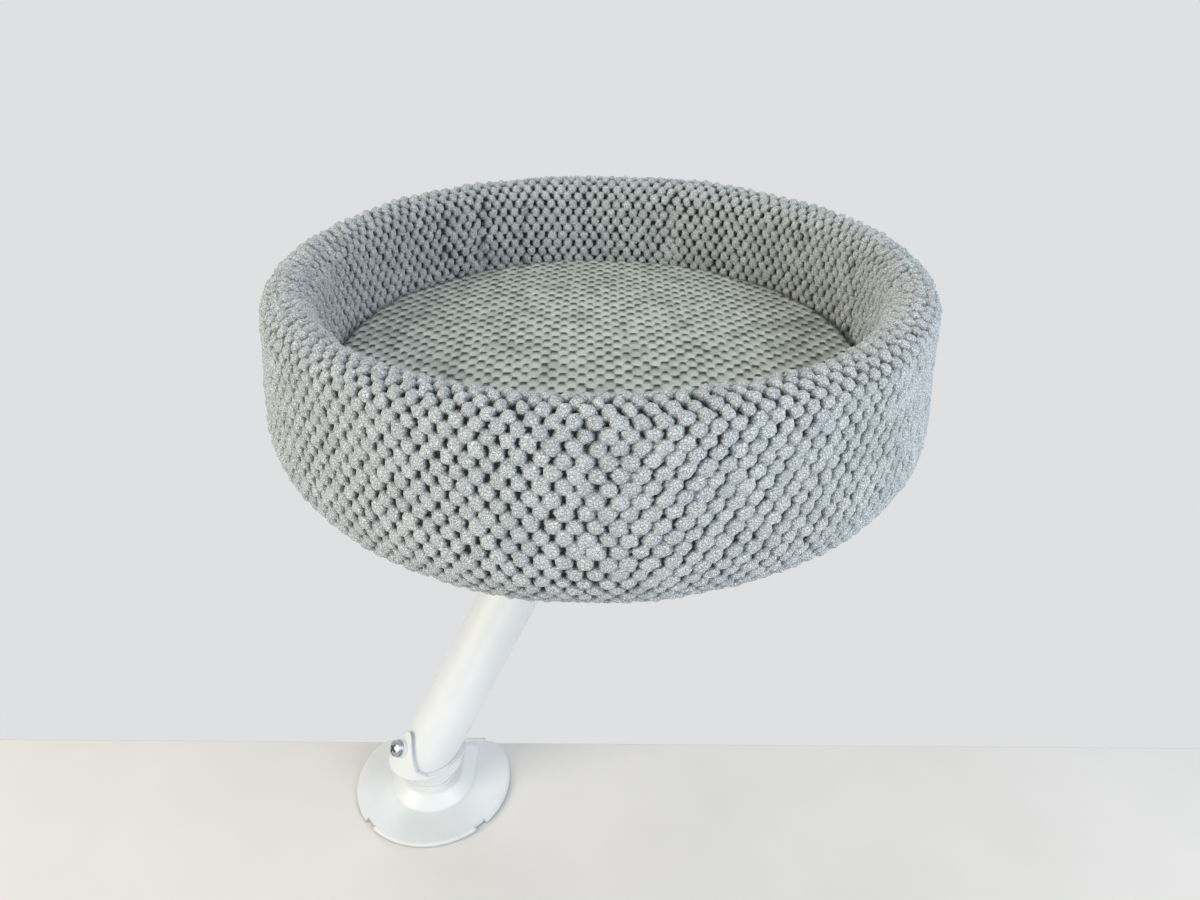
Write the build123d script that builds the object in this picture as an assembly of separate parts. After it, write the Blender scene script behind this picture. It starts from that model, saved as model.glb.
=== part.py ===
from build123d import *
import math
import os

# A round plush bed on one leaning pole, which turns on a clamp at a desk's rear edge.
# The swivel axis meets the desktop at the origin. +Z is up, and the desk's rear edge is towards +Y.

# Base plate, a stamped sheet on the desktop
plate_radius = 56.8
plate_sheet = 3.0
plate_back = 41.0
plate_corner_radius = 16.0
plate_edge_radius = 1.0
bend_radius = 2.5
notch_length = 9.0
notch_depth = 2.5
notch_angle = 45.0
desk_pad_thickness = 1.0
pad_inset = 3.0

# Raised platform of the base plate
platform_half_width = 30.5
platform_height = 8.5
platform_slope = 9.0
platform_back_margin = 2.0
platform_corner_radius = 4.0
platform_crown_corner_radius = 2.0

# Spine, the folded rear edge, and the pad on it
spine_half_width = 34.0
spine_foot_half_width = 24.0
spine_drop = 36.0
spine_corner_radius = 6.0
edge_pad_thickness = 1.0
edge_pad_height = 26.0
edge_pad_gap = 5.0

# Studs that hold the lower jaw on the spine
stud_radius = 3.0
stud_spacing = 16.0
stud_drop = 14.0
stud_head_radius = 4.5
stud_head_thickness = 1.2
stud_tail = 3.0
stud_end_chamfer = 0.5
m6_across = 10.0
m6_nut_height = 5.0
m6_washer_radius = 6.0
m6_washer_thickness = 1.6
fastener_clearance = 0.2

# Lower jaw, a pressed bracket below the desk
jaw_sheet = 3.0
jaw_half_width = 20.0
jaw_drop = 80.0
jaw_leg_rise = 72.0
jaw_nose_radius = 22.0
jaw_flange_height = 10.0
jaw_slot_length = 44.0
jaw_slot_lead = 4.0
jaw_corner_radius = 6.0

# Clamp screw, its nut, foot and knob
throat_opening = 45.0
foot_rise = 26.0
foot_pad_radius = 18.5
foot_pad_thickness = 3.0
foot_radius = 20.0
foot_plate_thickness = 3.0
foot_edge_chamfer = 0.75
foot_boss_radius = 9.0
foot_boss_height = 9.0
screw_radius = 5.0
screw_neck_radius = 4.2
screw_end_chamfer = 1.0
screw_tip_gap = 1.0
running_gap = 0.08
screw_nut_across = 17.0
screw_nut_height = 8.0
ring_thickness = 1.0
ring_radius = 7.5
knob_radius = 19.0
knob_height = 22.0
knob_lobe_radius = 7.0
knob_lobe_share = 1.12
knob_lobes = 6
knob_edge_radius = 2.5
knob_clearance = 3.0
knob_grip_depth = 17.0
pin_radius = 1.5

# Swivel
pivot_radius = 6.0
pivot_head_across = 18.0
pivot_head_height = 5.0
pivot_nut_height = 6.5
pivot_washer_radius = 10.0
pivot_washer_thickness = 1.6
pivot_tail = 1.5
pivot_end_chamfer = 1.0
thrust_washer_radius = 17.0
thrust_washer_thickness = 2.0

# Socket of the pole
socket_neck_radius = 16.5
socket_neck_top = 22.0
socket_body_radius = 22.5
socket_shoulder_height = 26.0
socket_lip_height = 32.2
socket_skirt_radius = 30.5
socket_skirt_height = 34.0
socket_rim_height = 35.5
socket_nut_seat = 31.0
socket_pocket_radius = 11.5
socket_wall = 3.4
socket_bore_gap = 0.1
ear_top = 8.0
ear_tip_radius = 4.5
ear_foot_half_width = 19.5
ear_foot_drop = 8.7
ear_root_depth = 8.0
ear_spread_share = 0.45
ear_lift_share = 0.8
screw_spot_radius = 6.6
screw_spot_height = 2.2

# Pole
pole_radius = 20.0
pole_wall = 1.5
pole_tilt = 32.57
pole_azimuth = 32.80
pole_cross_height = 38.7
pole_end_drop = 9.5
pole_screw_drop = 2.1
pole_screw_radius = 3.0
pole_screw_head_radius = 5.6
pole_screw_head_height = 4.4
screw_dome = 1.8
screw_slot_share = 1.3
screw_slot_width = 1.6
screw_slot_depth = 2.2
pole_screw_washer_radius = 6.1
pole_screw_washer_thickness = 1.2
weld_nut_radius = 6.0
weld_nut_height = 5.0

# Flange between pole and bed
flange_radius = 60.0
flange_thickness = 3.0
flange_edge_chamfer = 0.75
flange_screw_count = 4
flange_screw_start = 45.0
flange_screw_circle = 46.0
flange_screw_radius = 3.0
flange_head_radius = 5.5
flange_head_height = 3.2
flange_washer_radius = 8.0
flange_washer_thickness = 1.2
tee_flange_radius = 9.0
tee_flange_thickness = 1.2
tee_barrel_radius = 4.2

# Bed
bed_underside_height = 266.0
bed_height = 119.5
bed_rim_radius = 200.0
bed_belly_swell = 6.5
bed_corner_radius = 42.0
bed_rim_thickness = 30.4
bed_inner_swell = 1.7
cover_thickness = 4.0
layer_gap = 0.3
board_lap = 0.7
underside_inset = 34.0
board_thickness = 9.0
board_chamfer = 5.0
lining_thickness = 1.5
lining_fit = 0.9

# Cushion
cushion_fit = 0.6
cushion_edge_height = 58.5
cushion_crown = 4.0
cushion_side_draw = 3.0
cushion_top_round = 6.5
cushion_foot_round = 9.0
cushion_cover_thickness = 2.0

cut_overrun = 5.0

# Places worked out from the sizes above
plate_bottom = desk_pad_thickness
plate_top = plate_bottom + plate_sheet
bend_outer = bend_radius + plate_sheet
plate_chord = plate_back - bend_outer
spine_inside = plate_back - plate_sheet
platform_top = plate_top + platform_height
platform_ceiling = platform_top - plate_sheet
stud_high = -stud_drop
jaw_front = plate_back
jaw_back = jaw_front + jaw_sheet
arm_top = -jaw_drop
arm_bottom = arm_top - jaw_sheet
foot_pad_top = -throat_opening
foot_plate_top = foot_pad_top - foot_pad_thickness
foot_boss_top = foot_plate_top - foot_plate_thickness
foot_boss_bottom = foot_boss_top - foot_boss_height
screw_top = foot_boss_top - screw_tip_gap
ring_top = foot_boss_bottom - layer_gap
screw_nut_bottom = arm_bottom - screw_nut_height
knob_top = screw_nut_bottom - foot_rise - knob_clearance
screw_bottom = knob_top - knob_grip_depth
socket_bottom = platform_top + thrust_washer_thickness + running_gap
pivot_washer_bottom = socket_nut_seat + running_gap
pivot_nut_bottom = pivot_washer_bottom + pivot_washer_thickness
pivot_end = pivot_nut_bottom + pivot_nut_height + pivot_tail
sleeve_radius = pole_radius + socket_wall
pole_inside = pole_radius - pole_wall
screw_seat = sleeve_radius + screw_spot_height
flange_top = bed_underside_height - layer_gap
flange_bottom = flange_top - flange_thickness
bed_offset = (bed_underside_height - pole_cross_height) * math.tan(math.radians(pole_tilt))
bed_x = bed_offset * math.cos(math.radians(pole_azimuth))
bed_y = bed_offset * math.sin(math.radians(pole_azimuth))
bed_belly_radius = bed_rim_radius + bed_belly_swell
bed_rim_inside = bed_rim_radius - bed_rim_thickness
bed_inner_foot_radius = bed_rim_inside + bed_inner_swell
board_radius = bed_inner_foot_radius + board_lap
underside_radius = board_radius - underside_inset
lining_radius = bed_inner_foot_radius - lining_fit
cushion_radius = bed_rim_inside - cushion_fit
board_bottom = bed_underside_height + cover_thickness + layer_gap
board_top = board_bottom + board_thickness
lining_bottom = board_top + layer_gap
cushion_bottom = lining_bottom + lining_thickness + layer_gap
rim_round = bed_rim_thickness / 2
rim_centre_height = bed_underside_height + bed_height - rim_round
cushion_side_height = bed_underside_height + cushion_edge_height - cushion_bottom

# The pole's own frame: local Z runs up the pole, and local -Y is its upper side, where the screw is
lean = math.radians(pole_tilt)
swing = math.radians(pole_azimuth)
pole_frame = Location(
    Plane(
        origin=(0, 0, pole_cross_height),
        x_dir=(math.sin(swing), -math.cos(swing), 0),
        z_dir=(math.sin(lean) * math.cos(swing), math.sin(lean) * math.sin(swing), math.cos(lean)),
    )
)
BASE = (Align.CENTER, Align.CENTER, Align.MIN)
diagonal = math.sqrt(0.5)


def disc(radius, bottom, top):
    """An upright cylinder between two heights."""
    return Pos(0, 0, bottom) * Cylinder(radius, top - bottom, align=BASE)


def washer(outer, inner, bottom, top):
    """A flat ring between two heights."""
    return disc(outer, bottom, top) - disc(inner, bottom - cut_overrun, top + cut_overrun)


def hex_prism(across, bottom, top):
    """A hexagon across its flats between two heights."""
    corner = across / math.sqrt(3)
    return Pos(0, 0, bottom) * extrude(RegularPolygon(corner, 6), top - bottom)


def hex_nut(across, bore, bottom, top):
    """A hexagon nut with a plain bore and both faces chamfered by a cone."""
    corner = across / math.sqrt(3)
    ease = corner - across / 2
    blank = disc(corner, bottom, top)
    blank = chamfer(blank.edges().filter_by(GeomType.CIRCLE), ease)
    return (hex_prism(across, bottom, top) & blank) - disc(bore, bottom - cut_overrun, top + cut_overrun)


def facing_back(solid):
    """Turns a piece modelled along +Z so that it points towards +Y."""
    return Rot(-90, 0, 0) * solid


def write(name, solid):
    """One STEP file for each sub-part."""
    export_step(solid, f"parts/{name}.step")


def plate_outline(radius, chord, corner):
    """The D shape: a round front with a straight rear edge."""
    half = math.sqrt(radius**2 - chord**2)
    rear = Line((half, chord), (-half, chord))
    front = ThreePointArc((-half, chord), (0, -radius), (half, chord))
    face = make_face(rear + front)
    return fillet(face.vertices(), corner)


def platform_outline(half_width, back, corner):
    """The U shape: a half-round front, straight sides and a rear edge with round corners."""
    face = Circle(half_width) + Pos(0, back / 2) * Rectangle(2 * half_width, back)
    rear_corners = face.vertices().group_by(Axis.Y)[-1]
    return fillet(rear_corners, corner)


def platform_body(bottom):
    """The raised platform as a solid that narrows upwards from the given height."""
    back = plate_chord - platform_back_margin
    foot = platform_outline(platform_half_width, back, platform_corner_radius)
    crown = platform_outline(
        platform_half_width - platform_slope, back - platform_slope, platform_crown_corner_radius
    )
    return loft([Pos(0, 0, bottom) * foot, Pos(0, 0, bottom + platform_height) * crown])


def folded_strip(half_width, inside_radius, sheet, front, back, top, foot):
    """A sheet that runs back at the top and folds down: flat, quarter bend and leg."""
    outside_radius = inside_radius + sheet
    bend_y = back - outside_radius
    bend_z = top - outside_radius
    outer_arc = ThreePointArc(
        (bend_y, top),
        (bend_y + outside_radius * diagonal, bend_z + outside_radius * diagonal),
        (back, bend_z),
    )
    inner_arc = ThreePointArc(
        (back - sheet, bend_z),
        (bend_y + inside_radius * diagonal, bend_z + inside_radius * diagonal),
        (bend_y, top - sheet),
    )
    profile = make_face(
        Line((front, top), (bend_y, top))
        + outer_arc
        + Line((back, bend_z), (back, foot))
        + Line((back, foot), (back - sheet, foot))
        + Line((back - sheet, foot), (back - sheet, bend_z))
        + inner_arc
        + Line((bend_y, top - sheet), (front, top - sheet))
        + Line((front, top - sheet), (front, top))
    )
    return Pos(-half_width, 0, 0) * extrude(Plane.YZ * profile, 2 * half_width)


def base_plate():
    """Stamped plate with its platform, notches and folded spine."""
    outline = plate_outline(plate_radius, plate_chord, plate_corner_radius)
    body = Pos(0, 0, plate_bottom) * extrude(outline, plate_sheet)
    rim = body.edges().group_by(Axis.Z)[-1]
    body = fillet(rim, plate_edge_radius)
    body += folded_strip(
        spine_half_width, bend_radius, plate_sheet, 0, plate_back, plate_top, -spine_drop
    )
    body += platform_body(plate_top)
    body -= platform_body(plate_bottom)
    below = platform_outline(platform_half_width, plate_chord - platform_back_margin, platform_corner_radius)
    body -= Pos(0, 0, plate_bottom - cut_overrun) * extrude(below, cut_overrun)
    body -= disc(pivot_radius + fastener_clearance, plate_bottom, platform_top + cut_overrun)
    notch = Box(notch_depth + cut_overrun, notch_length, plate_sheet + cut_overrun)
    notch_centre = plate_radius - notch_depth + (notch_depth + cut_overrun) / 2
    for angle in (-90 - notch_angle, -90 + notch_angle):
        body -= Rot(0, 0, angle) * Pos(notch_centre, 0, plate_top) * notch
    keep = make_face(
        Polyline(
            (-plate_radius, plate_top + platform_height + cut_overrun),
            (plate_radius, plate_top + platform_height + cut_overrun),
            (plate_radius, 0),
            (spine_half_width, 0),
            (spine_foot_half_width, -spine_drop),
            (-spine_foot_half_width, -spine_drop),
            (-spine_half_width, 0),
            (-plate_radius, 0),
            close=True,
        )
    )
    keep = fillet(keep.vertices().group_by(Axis.Y)[0], spine_corner_radius)
    body &= Plane.XZ * extrude(keep, plate_radius + plate_back, both=True)
    for drop in (stud_drop, stud_drop + stud_spacing):
        hole = disc(stud_radius, -cut_overrun, plate_sheet + cut_overrun)
        hole += disc(stud_head_radius, -cut_overrun, stud_head_thickness)
        body -= Pos(0, spine_inside, -drop) * facing_back(hole)
    return body


def desk_pad():
    """Soft sheet under the plate, closed below the platform."""
    outline = plate_outline(plate_radius - pad_inset, plate_chord, plate_corner_radius)
    return extrude(outline, desk_pad_thickness)


def edge_pad():
    """Soft sheet on the spine's desk side."""
    top = plate_bottom - bend_radius - edge_pad_gap
    width = 2 * (spine_foot_half_width - pad_inset)
    centre = (0, spine_inside - edge_pad_thickness / 2, top - edge_pad_height / 2)
    return Pos(*centre) * Box(width, edge_pad_thickness, edge_pad_height)


def each_stud(piece):
    """Places a piece modelled along +Z at both studs, with its zero on the spine's desk side."""
    drops = (stud_drop, stud_drop + stud_spacing)
    return Compound(children=[Pos(0, spine_inside, -drop) * facing_back(piece) for drop in drops])


def jaw_stud():
    """Flush press-in stud that points to the rear."""
    seat = plate_sheet + jaw_sheet
    tip = seat + m6_washer_thickness + m6_nut_height + stud_tail
    shank = disc(stud_radius, 0, tip)
    shank = chamfer(shank.edges().group_by(Axis.Z)[-1], stud_end_chamfer)
    return shank + disc(stud_head_radius, 0, stud_head_thickness)


def lower_jaw():
    """Bracket with a slotted leg behind the spine, an arm below the desk and side flanges."""
    leg_top = arm_top + jaw_leg_rise
    strip = folded_strip(jaw_half_width, bend_radius, jaw_sheet, 0, jaw_back, -arm_bottom, -leg_top)
    body = mirror(strip, Plane.XY)
    body += Pos(0, 0, arm_bottom) * extrude(Circle(jaw_nose_radius), jaw_sheet)
    wall_top = arm_top - jaw_sheet / 2
    wall_bottom = arm_bottom - jaw_flange_height
    wall_back = jaw_back - bend_radius - jaw_sheet
    wall = Box(jaw_sheet, wall_back, wall_top - wall_bottom, align=(Align.CENTER, Align.MIN, Align.MIN))
    for side in (-1, 1):
        body += Pos(side * (jaw_half_width - jaw_sheet / 2), 0, wall_bottom) * wall
    rim = Pos(0, 0, wall_bottom) * extrude(
        Circle(jaw_nose_radius) - Circle(jaw_nose_radius - jaw_sheet), wall_top - wall_bottom
    )
    front = Box(
        2 * jaw_nose_radius, jaw_nose_radius, -wall_bottom, align=(Align.CENTER, Align.MAX, Align.MIN)
    )
    body += rim & (Pos(0, 0, wall_bottom) * front)
    body -= disc(screw_radius + fastener_clearance, arm_bottom - cut_overrun, arm_top + cut_overrun)
    slot_half = stud_radius + fastener_clearance
    slot_top = stud_high + jaw_slot_lead
    slot_face = SlotOverall(jaw_slot_length, 2 * slot_half, rotation=90)
    slot = extrude(Plane.XZ * slot_face, jaw_back + cut_overrun, both=True)
    body -= Pos(0, 0, slot_top - jaw_slot_length / 2) * (
        slot & (Pos(0, jaw_back, 0) * Box(jaw_drop, 2 * (jaw_sheet + cut_overrun), jaw_drop))
    )
    top_corners = body.edges().filter_by(Axis.Y).group_by(Axis.Z)[-1]
    return fillet(top_corners, jaw_corner_radius)


def clamp_screw():
    """Threaded rod, with a neck for the retaining ring, a round tip and a cross hole for the pin."""
    body = disc(screw_radius, screw_bottom, screw_top)
    body -= washer(screw_radius + cut_overrun, screw_neck_radius, ring_top - ring_thickness, ring_top)
    body = chamfer(body.edges().filter_by(GeomType.CIRCLE).group_by(Axis.Z)[-1], screw_end_chamfer)
    return body - knob_pin_body(pin_radius)


def knob_pin_body(radius):
    """The cross pin's cylinder through knob and screw."""
    height = knob_top - knob_grip_depth / 2
    length = 2 * (knob_radius - knob_lobe_radius)
    return Pos(0, 0, height) * Rot(0, 90, 0) * Cylinder(radius, length)


def screw_knob():
    """Round hand knob with scalloped sides and a blind bore."""
    body = disc(knob_radius, knob_top - knob_height, knob_top)
    for place in PolarLocations(knob_radius * knob_lobe_share, knob_lobes):
        body -= place * disc(knob_lobe_radius, knob_top - knob_height - cut_overrun, knob_top + cut_overrun)
    rims = body.edges().group_by(Axis.Z)
    body = fillet(rims[0] + rims[-1], knob_edge_radius)
    body -= disc(screw_radius, screw_bottom, knob_top + cut_overrun)
    return body - knob_pin_body(pin_radius)


def pressure_foot():
    """Steel disc with a boss that holds the screw's tip."""
    body = disc(foot_radius, foot_boss_top, foot_plate_top)
    body = chamfer(body.edges().group_by(Axis.Z)[0], foot_edge_chamfer)
    body += disc(foot_boss_radius, foot_boss_bottom, foot_boss_top)
    bore = screw_radius + running_gap
    return body - disc(bore, foot_boss_bottom - cut_overrun, foot_boss_top - screw_tip_gap / 2)


def pivot_bolt():
    """Hexagon bolt that stands in the platform's hollow and carries the socket."""
    head_bottom = platform_ceiling - pivot_head_height
    shank = disc(pivot_radius, head_bottom, pivot_end)
    shank = chamfer(shank.edges().group_by(Axis.Z)[-1], pivot_end_chamfer)
    return shank + hex_prism(pivot_head_across, head_bottom, platform_ceiling)


def upright_slab(bottom, top):
    """A wide block between two heights, for level cuts of leaning pieces."""
    width = 2 * bed_belly_radius + 2 * bed_offset
    return Pos(0, 0, bottom) * Box(width, width, top - bottom, align=BASE)


def ear_section(distance):
    """The ear's outline at a distance from the pole's axis: a round tip and straight flanks that grow outwards."""
    spread = ear_spread_share * (distance - pole_radius)
    tip = ear_tip_radius + spread
    centre = ear_top - ear_tip_radius + ear_lift_share * (distance - pole_radius)
    foot_x = ear_foot_half_width + spread / diagonal
    fall = centre + ear_foot_drop
    turn = math.acos(tip / math.hypot(foot_x, fall)) - math.atan2(fall, foot_x)
    shoulder_x = tip * math.cos(turn)
    shoulder = centre + tip * math.sin(turn)
    root = -ear_foot_drop - cut_overrun
    outline = (
        Line((-foot_x, root), (foot_x, root))
        + Line((foot_x, root), (foot_x, -ear_foot_drop))
        + Line((foot_x, -ear_foot_drop), (shoulder_x, shoulder))
        + ThreePointArc((shoulder_x, shoulder), (0, centre + tip), (-shoulder_x, shoulder))
        + Line((-shoulder_x, shoulder), (-foot_x, -ear_foot_drop))
        + Line((-foot_x, -ear_foot_drop), (-foot_x, root))
    )
    return Plane(origin=(0, -distance, 0), x_dir=(1, 0, 0), z_dir=(0, -1, 0)) * make_face(outline)


def ear():
    """The ear and, below it, the socket's edge square to the pole, as far as the sleeve lets them show."""
    outside = sleeve_radius + cut_overrun
    tab = loft([ear_section(pole_radius - ear_root_depth), ear_section(outside)], ruled=True)
    depth = pole_cross_height - socket_bottom
    edge = Box(2 * outside, outside, depth, align=(Align.CENTER, Align.MAX, Align.MAX))
    return pole_frame * (tab + Pos(0, 0, -ear_foot_drop) * edge)


def socket_skirt(top):
    """The round space that holds the socket above its neck: two steps that widen to an upright side."""
    section = make_face(
        Polyline(
            (0, socket_neck_top),
            (socket_neck_radius, socket_neck_top),
            (socket_body_radius, socket_shoulder_height),
            (socket_body_radius, socket_lip_height),
            (socket_skirt_radius, socket_skirt_height),
            (socket_skirt_radius, top),
            (0, top),
            close=True,
        )
    )
    return revolve(Plane.XZ * section, Axis.Z)


def socket_bore(top):
    """The space for the pole's end, square to the pole, less a level-topped core that fills the tube's foot."""
    floor = -pole_end_drop - layer_gap
    bore = Pos(0, 0, floor) * Cylinder(pole_radius + socket_bore_gap, 2 * top, align=BASE)
    core = Pos(0, 0, floor) * Cylinder(pole_inside - socket_bore_gap, 2 * top, align=BASE)
    core = (pole_frame * core) & upright_slab(socket_bottom, socket_nut_seat)
    return pole_frame * bore - core + disc(socket_pocket_radius, socket_nut_seat, top)


def pole_socket():
    """Cast socket: round neck, undercut body, leaning sleeve and the ear that takes the pole screw."""
    reach = socket_skirt_radius + sleeve_radius
    top = pole_cross_height + reach
    sleeve = pole_frame * Cylinder(sleeve_radius, 2 * reach)
    body = disc(socket_body_radius, socket_neck_top, socket_rim_height)
    body += sleeve & upright_slab(socket_neck_top, socket_rim_height)
    body += sleeve & ear()
    body &= socket_skirt(top)
    body += disc(socket_neck_radius, socket_bottom, socket_lip_height)
    body += on_pole_screw(disc(screw_spot_radius, pole_inside, screw_seat))
    body -= socket_bore(top)
    body -= disc(pivot_radius + running_gap, socket_bottom - cut_overrun, socket_nut_seat + cut_overrun)
    hole = disc(pole_screw_radius + fastener_clearance, pole_inside, screw_seat + cut_overrun)
    return body - on_pole_screw(hole)


def pole():
    """Round tube, cut square at its foot and level under the flange."""
    reach = bed_underside_height / math.cos(lean) + pole_radius
    tube = Cylinder(pole_radius, reach, align=BASE) - Cylinder(pole_inside, reach, align=BASE)
    body = pole_frame * (Pos(0, 0, -pole_end_drop) * tube) & upright_slab(socket_bottom, flange_bottom)
    return body - on_pole_screw(disc(pole_screw_radius + fastener_clearance, 0, pole_radius + cut_overrun))


def pan_head(radius, height):
    """A pan head from zero up, with a cross recess in its crown."""
    side = height - screw_dome
    rise = (radius**2 + screw_dome**2) / (2 * screw_dome)
    half = math.asin(radius / rise) / 2
    crown_middle = (rise * math.sin(half), height - rise + rise * math.cos(half))
    profile = make_face(
        Line((0, 0), (radius, 0))
        + Line((radius, 0), (radius, side))
        + ThreePointArc((radius, side), crown_middle, (0, height))
        + Line((0, height), (0, 0))
    )
    head = revolve(Plane.XZ * profile, Axis.Z)
    arm = Box(screw_slot_share * radius, screw_slot_width, 2 * screw_slot_depth)
    cross = Pos(0, 0, height) * (arm + Rot(0, 0, 90) * arm)
    return head - cross


def on_pole_screw(piece):
    """Places a piece modelled along +Z on the pole screw's axis, with its zero on the pole's axis."""
    return pole_frame * (Pos(0, 0, -pole_screw_drop) * Rot(90, 0, 0) * piece)


def pole_screw():
    """Pan-head screw through the ear and the pole's wall."""
    head_seat = screw_seat + pole_screw_washer_thickness
    nut_bottom = weld_nut_top() - weld_nut_height
    head = Pos(0, 0, head_seat) * pan_head(pole_screw_head_radius, pole_screw_head_height)
    return on_pole_screw(disc(pole_screw_radius, nut_bottom, head_seat) + head)


def weld_nut_top():
    """Distance from the pole's axis at which a flat nut meets the tube's inner wall."""
    return math.sqrt(pole_inside**2 - weld_nut_radius**2)


def bed_at(piece):
    """Moves a piece modelled about the bed's own axis to its place."""
    return Pos(bed_x, bed_y, 0) * piece


def flange_places():
    """The places of the flange screws about the bed's own axis."""
    return PolarLocations(flange_screw_circle, flange_screw_count, start_angle=flange_screw_start)


def each_flange_screw(piece):
    """Copies of a piece at all flange screws."""
    return Compound(children=[bed_at(place * piece) for place in flange_places()])


def flange_holes(radius, bottom, top):
    """The screw holes between two heights, round the bed's own axis."""
    drill = disc(radius, bottom - cut_overrun, top + cut_overrun)
    return [place * drill for place in flange_places()]


def top_flange():
    """Round plate welded to the pole's top, with its screw holes."""
    body = disc(flange_radius, flange_bottom, flange_top)
    body = chamfer(body.edges().group_by(Axis.Z)[0], flange_edge_chamfer)
    for hole in flange_holes(flange_screw_radius + fastener_clearance, flange_bottom, flange_top):
        body -= hole
    return bed_at(body)


def flange_screw():
    """Screw from below through flange and cover into the board."""
    seat = flange_bottom - flange_washer_thickness
    head = Pos(0, 0, seat) * (Rot(180, 0, 0) * pan_head(flange_head_radius, flange_head_height))
    return disc(flange_screw_radius, seat, board_top - tee_flange_thickness) + head


def tee_nut():
    """Flanged insert, let in from above the board."""
    body = disc(tee_barrel_radius, board_bottom, board_top)
    body += disc(tee_flange_radius, board_top - tee_flange_thickness, board_top)
    return body - disc(flange_screw_radius, board_bottom - cut_overrun, board_top + cut_overrun)


def wall_profile(inset, foot_height):
    """Section of the ring wall at a given inset from its skin, open towards the bed's axis below."""
    bottom = bed_underside_height + inset
    corner = bed_corner_radius - inset
    corner_x = bed_belly_radius - bed_corner_radius
    corner_z = bed_underside_height + bed_corner_radius
    outer_x = bed_rim_radius - inset
    inner_x = bed_rim_inside + inset
    foot_x = bed_inner_foot_radius + inset
    top = rim_centre_height + rim_round - inset
    corner_arc = ThreePointArc(
        (corner_x, bottom),
        (corner_x + corner * diagonal, corner_z - corner * diagonal),
        (corner_x + corner, corner_z),
    )
    rim_arc = ThreePointArc(
        (outer_x, rim_centre_height), (bed_rim_radius - rim_round, top), (inner_x, rim_centre_height)
    )
    outer_side = Line((corner_x + corner, corner_z), (outer_x, rim_centre_height))
    inner_side = Line((inner_x, rim_centre_height), (foot_x, foot_height))
    return corner_x, bottom, foot_x, corner_arc, outer_side, rim_arc, inner_side


def bed_cover():
    """Plush skin over the ring, from inside the floor over the rim and round to the underside."""
    corner_x, bottom, foot_x, *outside = wall_profile(0, lining_bottom)
    inner_x, inner_bottom, inner_foot_x, *inside = wall_profile(cover_thickness, lining_bottom)
    edges = outside + inside
    edges += [
        Line((foot_x, lining_bottom), (inner_foot_x, lining_bottom)),
        Line((inner_x, inner_bottom), (underside_radius, inner_bottom)),
        Line((underside_radius, inner_bottom), (underside_radius, bottom)),
        Line((underside_radius, bottom), (corner_x, bottom)),
    ]
    return bed_at(revolve(Plane.XZ * make_face(Wire(edges)), Axis.Z))


def wall_core():
    """Foam ring inside the skin."""
    foot_height = board_top + layer_gap
    corner_x, bottom, foot_x, *edges = wall_profile(cover_thickness + layer_gap, foot_height)
    edges += [
        Line((foot_x, foot_height), (corner_x, foot_height)),
        Line((corner_x, foot_height), (corner_x, bottom)),
    ]
    ring = revolve(Plane.XZ * make_face(Wire(edges)), Axis.Z)
    return bed_at(ring - disc(board_radius + layer_gap, bottom - cut_overrun, foot_height))


def base_board():
    """Plywood disc with its lower edge chamfered and stepped holes for the tee nuts."""
    body = disc(board_radius, board_bottom, board_top)
    body = chamfer(body.edges().group_by(Axis.Z)[0], board_chamfer)
    step = disc(tee_flange_radius, board_top - tee_flange_thickness, board_top + cut_overrun)
    for hole in flange_holes(tee_barrel_radius, board_bottom, board_top):
        body -= hole
    for place in flange_places():
        body -= place * step
    return bed_at(body)


def underside_cover():
    """Flat fabric disc under the board, pierced by the flange screws."""
    body = disc(underside_radius - layer_gap, bed_underside_height, bed_underside_height + cover_thickness)
    for hole in flange_holes(flange_screw_radius + fastener_clearance, bed_underside_height, board_bottom):
        body -= hole
    return bed_at(body)


def cushion_form(inset):
    """The cushion's solid at a given inset: crowned top, drawn-in side and round edges."""
    bottom = cushion_bottom + inset
    top = cushion_bottom + cushion_side_height - inset
    side = cushion_radius - inset
    drawn = side - cushion_side_draw
    top_round = cushion_top_round - inset
    foot_round = cushion_foot_round - inset
    flat = drawn - top_round
    bend = (flat**2 + cushion_crown**2) / (2 * cushion_crown)
    half = math.asin(flat / bend) / 2
    crown_middle = (bend * math.sin(half), top + cushion_crown - bend + bend * math.cos(half))
    profile = make_face(
        Line((0, bottom), (drawn - foot_round, bottom))
        + ThreePointArc(
            (drawn - foot_round, bottom),
            (drawn - foot_round * (1 - diagonal), bottom + foot_round * (1 - diagonal)),
            (drawn, bottom + foot_round),
        )
        + ThreePointArc((drawn, bottom + foot_round), (side, (bottom + top) / 2), (drawn, top - top_round))
        + ThreePointArc(
            (drawn, top - top_round),
            (drawn - top_round * (1 - diagonal), top - top_round * (1 - diagonal)),
            (flat, top),
        )
        + ThreePointArc((flat, top), crown_middle, (0, top + cushion_crown))
        + Line((0, top + cushion_crown), (0, bottom))
    )
    return revolve(Plane.XZ * profile, Axis.Z)


os.makedirs("parts", exist_ok=True)

# Clamp
write("base_plate", base_plate())
write("desk_pad", desk_pad())
write("edge_pad", edge_pad())
write("jaw_studs", each_stud(jaw_stud()))
stack = plate_sheet + jaw_sheet
stack_top = stack + m6_washer_thickness
write(
    "jaw_washers",
    each_stud(washer(m6_washer_radius, stud_radius + fastener_clearance, stack, stack_top)),
)
write("jaw_nuts", each_stud(hex_nut(m6_across, stud_radius, stack_top, stack_top + m6_nut_height)))
write("lower_jaw", lower_jaw())
write("screw_nut", hex_nut(screw_nut_across, screw_radius + running_gap, screw_nut_bottom, arm_bottom))

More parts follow.
